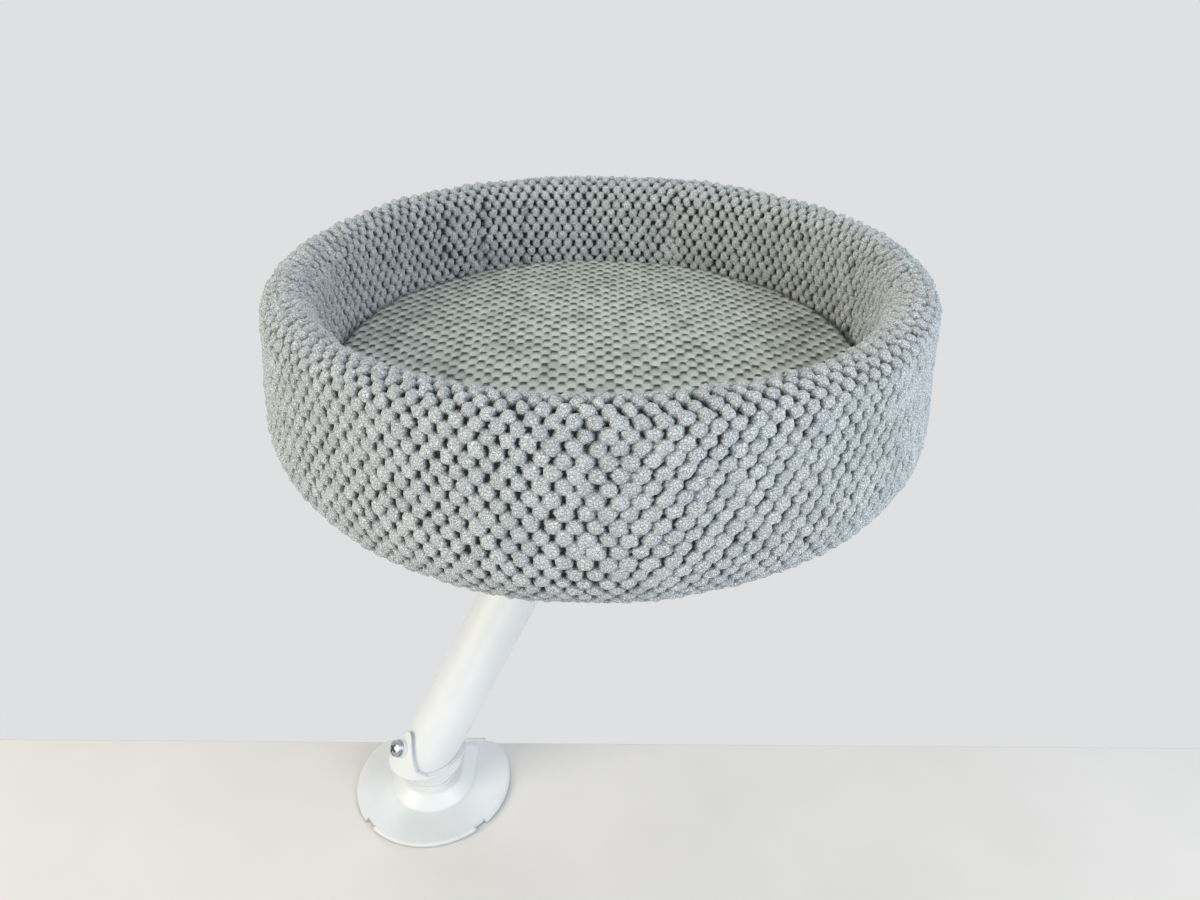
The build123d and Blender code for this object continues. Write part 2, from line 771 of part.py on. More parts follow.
# Pressure foot and clamp screw
write("pressure_foot", pressure_foot())
write("foot_pad", disc(foot_pad_radius, foot_plate_top, foot_pad_top))
write("clamp_screw", clamp_screw())
write("retaining_ring", washer(ring_radius, screw_neck_radius, ring_top - ring_thickness, ring_top))
write("screw_knob", screw_knob())
write("knob_pin", knob_pin_body(pin_radius))

# Swivel
write("pivot_bolt", pivot_bolt())
write(
    "thrust_washer",
    washer(
        thrust_washer_radius,
        pivot_radius + fastener_clearance,
        platform_top,
        platform_top + thrust_washer_thickness,
    ),
)
write(
    "pivot_washer",
    washer(pivot_washer_radius, pivot_radius + fastener_clearance, pivot_washer_bottom, pivot_nut_bottom),
)
write(
    "pivot_nut",
    hex_nut(pivot_head_across, pivot_radius, pivot_nut_bottom, pivot_nut_bottom + pivot_nut_height),
)
write("pole_socket", pole_socket())

# Pole
write("pole", pole())
write("pole_screw", pole_screw())
write(
    "pole_screw_washer",
    on_pole_screw(
        washer(
            pole_screw_washer_radius,
            pole_screw_radius + fastener_clearance,
            screw_seat,
            screw_seat + pole_screw_washer_thickness,
        )
    ),
)
write(
    "pole_weld_nut",
    on_pole_screw(washer(weld_nut_radius, pole_screw_radius, weld_nut_top() - weld_nut_height, weld_nut_top())),
)

# Flange
write("top_flange", top_flange())
write("flange_screws", each_flange_screw(flange_screw()))
write(
    "flange_washers",
    each_flange_screw(
        washer(
            flange_washer_radius,
            flange_screw_radius + fastener_clearance,
            flange_bottom - flange_washer_thickness,
            flange_bottom,
        )
    ),
)
write("tee_nuts", each_flange_screw(tee_nut()))

# Bed
write("base_board", base_board())
write("wall_core", wall_core())
write("bed_cover", bed_cover())
write("underside_cover", underside_cover())
write("floor_lining", bed_at(disc(lining_radius, lining_bottom, lining_bottom + lining_thickness)))

# Cushion
core_inset = cushion_cover_thickness + fastener_clearance
write("cushion_core", bed_at(cushion_form(core_inset)))
write("cushion_cover", bed_at(cushion_form(0) - cushion_form(cushion_cover_thickness)))
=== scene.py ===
import math

import bpy
import numpy as np
from mathutils import Matrix, Vector


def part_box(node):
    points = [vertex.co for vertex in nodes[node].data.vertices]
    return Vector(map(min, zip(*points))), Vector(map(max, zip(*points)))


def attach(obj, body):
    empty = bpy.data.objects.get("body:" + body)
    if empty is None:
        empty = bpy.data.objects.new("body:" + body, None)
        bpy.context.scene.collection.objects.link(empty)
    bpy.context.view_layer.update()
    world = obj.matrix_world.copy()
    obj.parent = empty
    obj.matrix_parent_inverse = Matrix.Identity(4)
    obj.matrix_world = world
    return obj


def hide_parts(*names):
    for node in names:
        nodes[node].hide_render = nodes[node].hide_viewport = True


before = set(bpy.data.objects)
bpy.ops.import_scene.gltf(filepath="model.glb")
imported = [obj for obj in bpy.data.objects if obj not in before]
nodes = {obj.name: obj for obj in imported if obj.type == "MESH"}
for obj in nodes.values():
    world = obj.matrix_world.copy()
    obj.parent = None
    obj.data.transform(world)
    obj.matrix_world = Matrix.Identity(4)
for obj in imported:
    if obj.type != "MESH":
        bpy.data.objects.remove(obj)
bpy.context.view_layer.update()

# Lengths are in millimetres, except where a heading says metres. Meshes are scaled when they are made.
MM = 0.001

# Bed, placed and sized as the solids have it. Its heights count from its underside.
flange_low, flange_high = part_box("top_flange")
BED_X = (flange_low.x + flange_high.x) / 2 / MM
BED_Y = (flange_low.y + flange_high.y) / 2 / MM
BED_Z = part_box("bed_cover")[0].z / MM
RIM_RADIUS = 200.0
BELLY_RADIUS = 206.5
CORNER_RADIUS = 42.0
RIM_CENTRE_HEIGHT = 104.3
RIM_ROUND = 15.2
UNDERSIDE_RADIUS = 138.0
INNER_FOOT = (171.3, 14.0)

# Bobble fleece of the ring, measured on the photograph. The half width is that at COLUMN_PITCH, and a seam is
# felt up to SEAM_REACH away. Angles here and below are in degrees round the bed, from its right.
COLUMNS = 127
COLUMN_PITCH = 10.1
ROW_PITCH = 6.4
BOBBLE_HEIGHT = 3.3
BOBBLE_HALF_WIDTH = 4.35
BOBBLE_HALF_HEIGHT = 4.7
RING_SEED = 7.0
FRONT_SEAM = -90.0
SEAM_REACH = 20
PANELS = (("front_right", 28), ("right", 29), ("rear_right", 18), ("rear_left", 27), ("front_left", 25))

# Creases of the ring's inner wall, by their angles. A degree is INNER_DEGREE long there.
INNER_CREASES = (12, 41, 58, 110, 121, 132, 147, 166, 189, 215, 248, 280, 311, 338)
INNER_DEGREE = 3.0
CREASE_HALF_WIDTH = 3.2
CREASE_DEPTH = 2.2

# Zones of the ring's fleece. The first three count inward from the rim's top. Each pair says where a zone
# starts and where it is full. At the right the bobbles lean, and further on they also run together.
CREST_HALF_WIDTH = 17
INNER_WALL = (10, 24)
OUTER_WALL = (8, -6)
LEANING = ((FRONT_SEAM, FRONT_SEAM + 6), (20, -10))
RUN_TOGETHER = ((-75, -30), (40, 10))

# Cushion, whose side bulges to its full radius at the seam half-way up
CUSHION_RADIUS = 169.0
CUSHION_DRAW = 3.0
CUSHION_SIDE = CUSHION_RADIUS - CUSHION_DRAW
CUSHION_EDGE = 58.5
CUSHION_CROWN = 4.0
CUSHION_TOP_ROUND = 6.5
CUSHION_FOOT_ROUND = 9.0
CUSHION_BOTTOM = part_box("cushion_cover")[0].z / MM - BED_Z
CUSHION_MIDDLE = (CUSHION_EDGE + CUSHION_BOTTOM) / 2
CUSHION_COLUMN = 11.1
CUSHION_ROW = 5.8
CUSHION_BOBBLE_HALF_WIDTH = 4.15
CUSHION_BOBBLE_HALF_HEIGHT = 4.95
CUSHION_SEED = 61.0

# Pole, as the solids have it: it crosses the swivel axis at the given height
POLE_RADIUS = 20
POLE_TILT = math.radians(32.57)
POLE_AZIMUTH = math.radians(32.80)
POLE_CROSSING = 38.7

# Fineness of the meshes, and the radius of the small caps that close a turned solid on its axis
MESH_STEP = 0.76
CUSHION_STEPS = 312
PROFILE_STEP = 0.5
NEAR_AXIS = 0.5


# Numbers that look random but are the same on every run


def chance(i, j, k):
    """A value from 0 to 1 for a whole-number pair and a channel."""
    value = np.sin(i * 12.9898 + j * 78.233 + k * 37.719) * 43758.5453
    return value - np.floor(value)


def ease(x):
    """0 below 0, 1 above 1, and smooth between."""
    x = np.clip(x, 0, 1)
    return x * x * (3 - 2 * x)


def step(x, start, full):
    """0 on one side of start, 1 beyond full, and smooth between."""
    return ease((x - start) / (full - start))


def bell(x, width):
    """1 at 0, with a smooth fall to both sides."""
    return np.exp(-((x / width) ** 2))


def cloud(x, y, size, k):
    """Smooth value noise from -1 to 1 with the given grain size."""
    u, v = x / size, y / size
    i, j = np.floor(u), np.floor(v)
    fu, fv = ease(u - i), ease(v - j)
    low = chance(i, j, k) * (1 - fu) + chance(i + 1, j, k) * fu
    high = chance(i, j + 1, k) * (1 - fu) + chance(i + 1, j + 1, k) * fu
    return 2 * (low * (1 - fv) + high * fv) - 1


def clouds(x, y, k, *layers):
    """Noise summed from layers of strength and grain size, each on a channel of its own from k onwards."""
    return sum(strength * cloud(x, y, size, k + n) for n, (strength, size) in enumerate(layers))


# Meshes


def mesh_object(name, points, faces, values=None, smooth=True):
    """An object from millimetre points, with named value layers for its material."""
    mesh = bpy.data.meshes.new(name)
    mesh.from_pydata((np.asarray(points) * MM).tolist(), [], [list(f) for f in faces])
    for key, layer in (values or {}).items():
        attribute = mesh.attributes.new(key, "FLOAT", "POINT")
        attribute.data.foreach_set("value", np.asarray(layer, np.float32).ravel())
    if smooth:
        mesh.shade_smooth()
    mesh.validate()
    mesh.update()
    piece = bpy.data.objects.new(name, mesh)
    bpy.context.scene.collection.objects.link(piece)
    return piece


def grid_faces(rows, columns, wrap=False, ring=False):
    """Quads of a grid, row by row. wrap joins the last column to the first, and ring the last row."""
    i = np.arange(rows if ring else rows - 1)[:, None] * columns
    j = np.arange(columns if wrap else columns - 1)[None, :]
    right = (j + 1) % columns
    following = (i + columns) % (rows * columns)
    quads = np.stack([i + j, i + right, following + right, following + j], -1)
    return quads.reshape(-1, 4)


def end_caps(rows, columns):
    """Faces that close the first and last rows of a wrapped grid."""
    last = (rows - 1) * columns
    return [list(range(columns))[::-1], [last + j for j in range(columns)]]


def turned_solid(name, profile, segments=180, ring=False):
    """A solid turned about the bed's axis from points of radius and height. A ring's profile closes on
    itself, and any other starts and ends near the axis, where small caps close it."""
    profile = np.asarray(profile, float)
    angle = np.linspace(0, 2 * math.pi, segments, endpoint=False)
    r, z = profile[:, 0][:, None], profile[:, 1][:, None]
    points = np.stack([r * np.cos(angle), r * np.sin(angle), z + 0 * angle], -1).reshape(-1, 3)
    faces = grid_faces(len(profile), segments, wrap=True, ring=ring).tolist()
    if not ring:
        faces += end_caps(len(profile), segments)
    return mesh_object(name, points + np.array((BED_X, BED_Y, BED_Z)), faces)


def arc(centre, radius, start, end, count):
    """Points on an arc between two angles in degrees."""
    angle = np.radians(np.linspace(start, end, count))
    return [(centre[0] + radius * math.cos(a), centre[1] + radius * math.sin(a)) for a in angle]


class Profile:
    """A plane curve that is read by its length: radius, height and the normal to the right of its run."""

    def __init__(self, points, soften):
        """Softens the corners between the points over so many steps to each side."""
        points = np.array(points, float)
        length = np.concatenate([[0], np.cumsum(np.hypot(*np.diff(points, axis=0).T))])
        self.total = length[-1]
        self.end = self.total - PROFILE_STEP
        self.s = np.arange(0, self.total, PROFILE_STEP)
        window = np.hanning(2 * soften + 3)[1:-1]
        window /= window.sum()
        even = [np.interp(self.s, length, axis) for axis in points.T]
        padded = [np.pad(v, soften, "reflect", reflect_type="odd") for v in even]
        self.r, self.z = [np.convolve(v, window, "valid") for v in padded]
        dr, dz = np.gradient(self.r), np.gradient(self.z)
        size = np.hypot(dr, dz)
        self.nr, self.nz = dz / size, -dr / size

    def at(self, s):
        return [np.interp(s, self.s, v) for v in (self.r, self.z, self.nr, self.nz)]


# Bobbles on a brick lattice


def bobbles(
    a, b, column, row, half_width, half_height, swell, seed, lap=100000, turn=0.0, mess=0.0, merge=0.0
):
    """Height from 0 to 1 and tint of knitted bobbles, at places that a counts in columns and b in rows. A low
    swell keeps the bobbles high almost to their edges, so that neighbours meet in creases and only the small
    hole beside each one is deep. After lap columns the chances repeat. turn leans each bobble by so many
    degrees, mess makes places and sizes less even, and merge fills the creases up to its height."""
    squareness = 2.3
    fill_start, fill_span = 0.44, 0.14
    height = np.zeros_like(a)
    near = np.zeros_like(a)
    tint = np.full_like(a, 0.5)
    b_middle = np.round(b)
    for dj in (-1, 0, 1):
        j = b_middle + dj
        shift = 0.5 * np.mod(j, 2)
        a_middle = np.floor(a - shift)
        for di in (0, 1):
            i = a_middle + di
            n = np.mod(i, lap)
            loose = 0.08 + 0.26 * mess
            ca = i + shift + loose * (chance(n, j, seed) - 0.5)
            cb = j + loose * 1.2 * (chance(n, j, seed + 1) - 0.5)
            grow = 1 + (0.14 + 0.34 * mess) * (chance(n, j, seed + 2) - 0.5)
            lean = np.radians(turn + (20 + 50 * mess) * (chance(n, j, seed + 3) - 0.5))
            x, y = (a - ca) * column, (b - cb) * row
            along = x * np.cos(lean) + y * np.sin(lean)
            across = y * np.cos(lean) - x * np.sin(lean)
            q = np.abs(along / (half_width * grow)) ** squareness
            q += np.abs(across / (half_height * grow)) ** squareness
            near += np.exp(-1.6 * q)
            rise = np.clip(1 - q, 0, 1) ** swell * (0.88 + 0.2 * chance(n, j, seed + 4))
            higher = rise > height
            height = np.where(higher, rise, height)
            tint = np.where(higher, chance(n, j, seed + 5), tint)
    return np.maximum(height, merge * ease((near - fill_start) / fill_span)), tint


def rim_rise(theta):
    """How far the rim stands above or below its nominal height round the bed."""
    degrees = np.degrees(theta)
    rise = 1.9 * np.cos(theta - math.radians(-38)) + 0.7 * np.sin(3 * theta + 0.6)
    rise += 0.5 * np.sin(5 * theta + 2.1) + 0.35 * np.sin(8 * theta + 4.0)
    dip_right_of_seam = 1.2 * bell(degrees + 125, 30)
    rear_hump = 2.0 * bell(degrees - 98, 32)
    return rise - dip_right_of_seam + rear_hump


def inner_creases(degrees, inward):
    """Creases that run down the ring's inner wall and wander a little, from 0 to 1 deep."""
    crease = np.zeros_like(degrees)
    for n, place in enumerate(INNER_CREASES):
        bend = place + 0.9 * np.sin(inward / 13 + n)
        away = ((degrees - bend + 180) % 360 - 180) * INNER_DEGREE
        crease += (0.6 + 0.4 * math.sin(5 * n)) * bell(away, CREASE_HALF_WIDTH)
    return crease


def ring_panel(name, profile, first, last):
    """One sewn panel of the ring's plush cover. Its two seams are given as columns from the front seam."""
    winding_reach, seam_width, groove_half_width, closing_reach = 14, 8, 3, 4
    count = int((last - first) / COLUMNS * 2 * math.pi * RIM_RADIUS / MESH_STEP)
    column = np.linspace(first, last, count)[None, :]
    s = np.linspace(0, profile.end, int(profile.total / MESH_STEP))[:, None]
    r, z, nr, nz = profile.at(s)
    column, s = np.broadcast_arrays(column, s)
    pitch = 2 * math.pi * r / COLUMNS
    from_seam = np.minimum(column - first, last - column) * pitch

    # The rows wave a little round the bed, and the seams wind between the bobbles
    lap = column * 2 * math.pi / COLUMNS
    row = s / ROW_PITCH + 0.35 * np.sin(2 * lap) + 0.2 * np.sin(5 * lap + 2)
    winding = 0.25 + 0.25 * np.clip(1.5 * np.cos(math.pi * row), -1, 1)
    column = column - winding * bell(from_seam, winding_reach)
    theta = math.radians(FRONT_SEAM) + column * 2 * math.pi / COLUMNS
    degrees = np.degrees(theta)
    x = theta * RIM_RADIUS

    # Zones: the rim's crest, the inner wall with its creases, and two on the right of the outer wall
    inward = s - profile.s[profile.z.argmax()]
    crest = bell(inward, CREST_HALF_WIDTH)
    inside = step(inward, *INNER_WALL)
    outside = step(inward, *OUTER_WALL)
    crease = inner_creases(degrees, inward) * inside
    right, far_right = [
        step(degrees, *rise) * step(degrees, *fall) * outside for rise, fall in (LEANING, RUN_TOGETHER)
    ]
    wide = 0.18 * right - 0.06 * far_right

    # Bobbles, ragged by curls of pile that die out at the front seam, where the counting starts anew
    fit = np.clip(pitch / COLUMN_PITCH, 0.8, 1.04) * (1 + 0.06 * bell(from_seam, seam_width))
    closing = ease(np.minimum(column, COLUMNS - column) * pitch / closing_reach)
    curl_x, curl_s = [clouds(x, s, k, (0.7, 1.7), (0.4, 3.6)) * closing for k in (3.0, 5.0)]
    height, tint = bobbles(
        column + curl_x / pitch,
        row + curl_s / ROW_PITCH,
        pitch,
        ROW_PITCH,
        BOBBLE_HALF_WIDTH * fit * (1 - 0.14 * crest + wide * (1 - crest) - 0.045 * inside - 0.1 * crease),
        BOBBLE_HALF_HEIGHT * (1 + 0.08 * crest - 0.7 * wide * (1 - crest) - 0.03 * inside),
        0.42 + 0.26 * crest,
        RING_SEED,
        lap=COLUMNS,
        turn=31 * right - 6 * far_right,
        mess=np.clip(0.6 - from_seam / SEAM_REACH, 0, 0.6),
        merge=(0.42 * right + 0.5 * far_right) * (1 - crest),
    )
    ragged = clouds(x, s, 7.0, (0.12, 1.8), (0.08, 3.4))
    height = np.clip(height * (1 + ragged * closing), 0, 1.2)

    # Soft folds of the whole cover, and the shallow groove of each seam
    fold = clouds(x, s, 11.0, (0.9, 60.0), (0.5, 26.0))
    fold = fold * step(from_seam, 0, SEAM_REACH) * step(s, 0, 60)
    fold -= 0.4 * bell(from_seam, groove_half_width)

    out = (height - 1) * BOBBLE_HEIGHT * (1 + 0.35 * crest) + 0.5 * crest
    out += fold - CREASE_DEPTH * crease
    radius = r + nr * out
    up = z + nz * out + rim_rise(theta) * step(z, 30, 110)
    points = np.stack([BED_X + radius * np.cos(theta), BED_Y + radius * np.sin(theta), BED_Z + up], -1)
    # The pile value sets the fleece's painted shade, low values painted dark. It is lowered along the inner
    # creases, which are painted darker, raised on the rim's crest, which is painted paler, and kept above
    # backing near the seams
    backing = 0.2 * bell(from_seam, seam_width)
    values = {"pile": np.clip(height * (1 - 0.25 * crease) + 0.14 * crest, backing, 1), "tint": tint}
    return mesh_object(name, points.reshape(-1, 3), grid_faces(*height.shape), values)


def cover_profile():
    """Section of the ring from the underside seam over the rim to the inner foot."""
    points = [(UNDERSIDE_RADIUS, 0), (BELLY_RADIUS - CORNER_RADIUS, 0)]
    points += arc((BELLY_RADIUS - CORNER_RADIUS, CORNER_RADIUS), CORNER_RADIUS, -90, 0, 40)
    points += arc((RIM_RADIUS - RIM_ROUND, RIM_CENTRE_HEIGHT), RIM_ROUND, 0, 180, 30)
    points.append(INNER_FOOT)
    return Profile(points, soften=8)


def foam_section(profile):
    """Section of the ring's foam: the cover's, less the plush, with a notch that takes the base board."""
    inset, side_gap, top_gap, least_lip, underside_stretch = 8.0, 0.6, 0.5, 0.5, 40
    s = np.linspace(0, profile.end, 160)
    r, z, nr, nz = profile.at(s)
    skin = np.stack([r - nr * inset, z - nz * inset], -1)
    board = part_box("base_board")[1]
    board_side = board.x / MM - BED_X + side_gap
    board_top = board.z / MM - BED_Z + top_gap
    skin = skin[(skin[:, 0] > board_side + least_lip) & (s > underside_stretch)]
    notch = [(skin[-1][0], board_top), (board_side, board_top), (board_side, skin[0][1])]
    return list(map(tuple, skin)) + notch


def underside_cloth():
    """Cloth below the bed. The flange draws it flat, and outside that it is slack and puckered."""
    flange = 60
    top, edge_top, edge_radius = 2.4, 0.6, UNDERSIDE_RADIUS - 0.6
    radii = np.concatenate([np.linspace(NEAR_AXIS, flange, 12), np.linspace(flange + 4, edge_radius, 26)])
    sag = -1.1 * step(radii, flange + 2, flange + 22) * step(radii, UNDERSIDE_RADIUS, UNDERSIDE_RADIUS - 14)
    upper = [(UNDERSIDE_RADIUS - 0.4, edge_top), (edge_radius, top), (NEAR_AXIS, top)]
    cloth = turned_solid("underside_cloth", list(zip(radii, sag)) + upper)
    co = np.zeros(len(cloth.data.vertices) * 3)
    cloth.data.vertices.foreach_get("co", co)
    co = co.reshape(-1, 3)
    dx, dy = co[:, 0] / MM - BED_X, co[:, 1] / MM - BED_Y
    away = np.hypot(dx, dy)
    pucker = np.sin(np.arctan2(dy, dx) * 31) * 0.25 + 0.5 * cloud(dx, dy, 24.0, 31.0)
    pucker = pucker * step(away, flange + 6, flange + 36) * step(away, UNDERSIDE_RADIUS, UNDERSIDE_RADIUS - 6)
    lower_face = co[:, 2] < (BED_Z + 1) * MM
    co[:, 2] += MM * pucker * lower_face
    cloth.data.vertices.foreach_set("co", co.ravel())
    cloth.data.update()
    return cloth


def stitches(name, radius, height, count, length, thickness):
    """A round line of short sewn stitches, each a thin capsule that dips at its ends."""
    rings, sides = 6, 6
    share = np.linspace(0, 1, rings)[:, None]
    q = 2 * math.pi * np.arange(sides)[None, :] / sides
    wide = thickness * (0.35 + 0.65 * np.sin(math.pi * share))
    across = radius + wide * np.cos(q)
    up = height + 0.5 * (2 * share - 1) ** 2 + wide * np.sin(q)
    points, faces = [], []
    for n in range(count):
        angle = 2 * math.pi * n / count + (share - 0.5) * length / radius
        stitch = np.stack([BED_X + across * np.cos(angle), BED_Y + across * np.sin(angle), up], -1)
        points.append(stitch.reshape(-1, 3))
        offset = n * rings * sides
        faces += (grid_faces(rings, sides, wrap=True) + offset).tolist()
        faces += [[offset + j for j in cap] for cap in end_caps(rings, sides)]
    return mesh_object(name, np.concatenate(points), faces)


def lining_section():
    """Section of the floor lining, a flat cloth disc with softened edges."""
    low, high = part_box("floor_lining")
    radius = (high.x - low.x) / 2 / MM
    bottom = low.z / MM - BED_Z
    top = bottom + (high.z - low.z) / MM
    soft = 0.6
    section = [(NEAR_AXIS, bottom), (radius - soft, bottom), (radius, bottom + 0.3)]
    return section + [(radius, top - 0.4), (radius - soft, top), (NEAR_AXIS, top)]


def cushion_profile():
    """Upper section of the cushion, from its crown to the seam half-way down the side."""
    flat = CUSHION_SIDE - CUSHION_TOP_ROUND
    shoulder = CUSHION_EDGE - CUSHION_TOP_ROUND
    top = [(r, CUSHION_EDGE + CUSHION_CROWN * (1 - (r / flat) ** 2)) for r in np.linspace(0, flat, 40)]
    corner = arc((flat, shoulder), CUSHION_TOP_ROUND, 86, 0, 14)
    drop = shoulder - CUSHION_MIDDLE
    side = [
        (CUSHION_SIDE + CUSHION_DRAW * math.sin(t * math.pi / 2), shoulder - t * drop)
        for t in np.linspace(0.1, 1, 12)
    ]
    return Profile(top + corner + side, soften=5)


def cushion_top():
    """Plush upper of the cushion: a crowned round panel in rows of flat bobbles, down to the side seam."""
    swell, seam_reach, fold_reach = 0.65, 5, 50
    middle_x, middle_y, middle_reach = 22, -12, 85
    profile = cushion_profile()
    line = np.linspace(-1, 1, CUSHION_STEPS)
    u, v = np.meshgrid(line, line)
    x, y = u * np.sqrt(1 - v * v / 2), v * np.sqrt(1 - u * u / 2)
    share = np.clip(np.hypot(x, y), 0, 1)
    s = share * profile.end
    r, z, nr, nz = profile.at(s)
    safe = np.maximum(share, 1e-6)
    cos, sin = x / safe, y / safe
    flat_x, flat_y = cos * s, sin * s
    a = flat_x / CUSHION_COLUMN + 0.10 * np.sin(flat_y / 40)
    b = flat_y / CUSHION_ROW + 0.30 * np.sin(flat_x / 60) + 0.15 * np.sin(flat_x / 23 + 1)
    half_sizes = CUSHION_BOBBLE_HALF_WIDTH, CUSHION_BOBBLE_HALF_HEIGHT
    height, tint = bobbles(a, b, CUSHION_COLUMN, CUSHION_ROW, *half_sizes, swell, CUSHION_SEED)
    height = np.clip(height * 1.08, 0, 1) * (1 + 0.05 * cloud(flat_x, flat_y, 3.0, 21.0))

    # The section's normal points into the cushion, so what is above 0 here is a depth. The lines between the
    # bobbles, the middle and the edge at the side seam are below 0, and stand up.
    to_seam = profile.total - s
    edge = step(to_seam, 0, seam_reach)
    fold = clouds(flat_x, flat_y, 23.0, (0.9, 70.0), (0.35, 24.0))
    middle = -2.4 * bell(np.hypot(flat_x - middle_x, flat_y - middle_y), middle_reach)
    depth = (height - 1) * (0.8 + 1.3 * edge) - 2.3 * (1 - edge)
    depth += (fold + middle) * step(to_seam, 0, fold_reach)
    radius = np.maximum(r + nr * depth, 0)
    points = np.stack([BED_X + radius * cos, BED_Y + radius * sin, BED_Z + z + nz * depth], -1)
    # The pile value sets the fleece's painted shade: the holes between the bobbles are painted dark
    values = {"pile": np.clip(height, 0, 1), "tint": tint}
    return mesh_object("cushion_plush_top", points.reshape(-1, 3), grid_faces(*height.shape), values)


def cushion_base_section():
    """Section of the cushion's plain base cloth, which rolls in at the side seam and ends above it."""
    foot = CUSHION_BOTTOM + CUSHION_FOOT_ROUND
    foot_radius = CUSHION_SIDE - CUSHION_FOOT_ROUND
    rise = CUSHION_MIDDLE - foot
    bulge = CUSHION_DRAW - 0.4
    top = CUSHION_MIDDLE + 0.8
    side = [
        (CUSHION_SIDE + bulge * math.sin(t * math.pi / 2), foot + t * rise)
        for t in np.linspace(0.15, 0.86, 7)
    ]
    seam = ((2.3, -0.9), (1.5, -0.1), (0.3, 0.5), (-1.2, 0.8))
    section = [(NEAR_AXIS, CUSHION_BOTTOM), (foot_radius, CUSHION_BOTTOM)]
    section += arc((foot_radius, foot), CUSHION_FOOT_ROUND, -80, 0, 10) + side
    section += [(CUSHION_SIDE + out, CUSHION_MIDDLE + up) for out, up in seam]
    return section + [(NEAR_AXIS, top)]


def cushion_core_section():
    """Section of the foam between the base cloth's top and the plush's underside."""
    radius = CUSHION_SIDE - 5
    bottom = CUSHION_MIDDLE + 1.2
    shoulder, edge, crown = CUSHION_EDGE - 9, CUSHION_EDGE - 5.5, 2.5
    top = [(r, edge + crown * (1 - (r / radius) ** 2)) for r in np.linspace(radius - 4, NEAR_AXIS, 20)]
    return [(NEAR_AXIS, bottom), (radius, bottom), (radius, shoulder)] + top


def threaded_rod(name, foot, length, radius, pitch, start, end):
    """A threaded rod on the swivel axis, from the height foot upwards. It is plain below start and above end,
    and has chamfered closed ends."""
    segments, rows_per_turn, chamfer, depth_per_pitch = 40, 9, 0.8, 0.61
    turn = np.linspace(0, 1, segments, endpoint=False)[None, :]
    z = np.linspace(0, length, int(length / pitch * rows_per_turn))[:, None]
    phase = np.mod(z / pitch - turn, 1)
    depth = depth_per_pitch * pitch * np.clip(np.abs(2 * phase - 1) * 1.25 - 0.12, 0, 1)
    r = radius - depth * ease((z - start) / pitch) * ease((end - z) / pitch)
    tip = np.minimum(ease(z / chamfer + 0.35), ease((length - z) / chamfer + 0.35))
    r = r * np.minimum(0.86 + 0.14 * tip / 0.35, 1)
    angle = 2 * math.pi * turn
    points = np.stack([r * np.cos(angle), r * np.sin(angle), foot + z + 0 * r], -1).reshape(-1, 3)
    faces = grid_faces(len(z), segments, wrap=True).tolist() + end_caps(len(z), segments)
    return mesh_object(name, points, faces)


def bead(name, centre, radii, direction, thickness):
    """A weld bead round a level ellipse, with ripples. direction is the angle of its first radius."""
    around, across, ripples = 420, 12, 46
    t = np.linspace(0, 2 * math.pi, around, endpoint=False)[:, None, None]
    p = np.linspace(0, 2 * math.pi, across, endpoint=False)[None, :, None]
    long_axis = np.array([math.cos(direction), math.sin(direction), 0])
    short_axis = np.array([-math.sin(direction), math.cos(direction), 0])
    from_centre = radii[0] * np.cos(t) * long_axis + radii[1] * np.sin(t) * short_axis
    outward = from_centre / np.linalg.norm(from_centre, axis=-1, keepdims=True)
    upward = np.array([0, 0, 1.0])
    ripple = 1 + 0.14 * np.abs(np.sin(t * ripples)) + 0.08 * np.sin(5 * t + 1)
    size = thickness * ripple
    points = np.array(centre) + from_centre + size * (np.cos(p) * outward + np.sin(p) * upward)
    return mesh_object(name, points.reshape(-1, 3), grid_faces(around, across, wrap=True, ring=True))


def stage_board():
    """A board whose rear edge ends where a desk would, and which fills the clamp's rest opening."""
    left, right, front, back = -620.0, 860.0, -420.0, 36.9
    bottom, top = -44.9, -0.05
    outline = ((left, front), (right, front), (right, back), (left, back))
    corners = [(x, y, z) for z in (bottom, top) for x, y in outline]
    sides = [(0, 3, 2, 1), (4, 5, 6, 7)] + [(k, (k + 1) % 4, (k + 1) % 4 + 4, k + 4) for k in range(4)]
    board = mesh_object("floor", corners, sides, smooth=False)
    rounding = board.modifiers.new("edge", "BEVEL")
    rounding.width = 1.2 * MM
    rounding.segments = 3
    return board


# Materials


def srgb(hex_colour):
    """A written sRGB colour as the linear, opaque colour that nodes use."""
    value = [int(hex_colour[i : i + 2], 16) / 255 for i in (1, 3, 5)]
    return [v / 12.92 if v <= 0.04045 else ((v + 0.055) / 1.055) ** 2.4 for v in value] + [1.0]


def add(tree, kind, settings=None, inputs=None):
    """Adds one node; an input takes a value or another node's output."""
    made = tree.nodes.new(kind)
    for key, value in (settings or {}).items():
        setattr(made, key, value)
    for key, value in (inputs or {}).items():
        if isinstance(value, bpy.types.NodeSocket):
            tree.links.new(value, made.inputs[key])
        else:
            made.inputs[key].default_value = value
    return made


def calculate(tree, operation, *values):
    """The result of a math node."""
    return add(tree, "ShaderNodeMath", {"operation": operation}, dict(enumerate(values))).outputs[0]


def start_material(name):
    """An empty material with its shader; returns both, the node tree and object coordinates."""
    material = bpy.data.materials.new(name)
    material.use_nodes = True
    tree = material.node_tree
    shader = next(n for n in tree.nodes if n.type == "BSDF_PRINCIPLED")
    place = add(tree, "ShaderNodeTexCoord").outputs["Object"]
    return material, tree, shader, place


def grain(tree, place, size, detail=3.0, roughness=0.55, stretch=None):
    """Noise with its grain size in millimetres, drawn out along an axis where stretch says."""
    if stretch:
        place = add(tree, "ShaderNodeMapping", inputs={"Vector": place, "Scale": stretch}).outputs["Vector"]
    inputs = {"Vector": place, "Scale": 1 / (size * MM), "Detail": detail, "Roughness": roughness}
    return add(tree, "ShaderNodeTexNoise", inputs=inputs).outputs["Fac"]


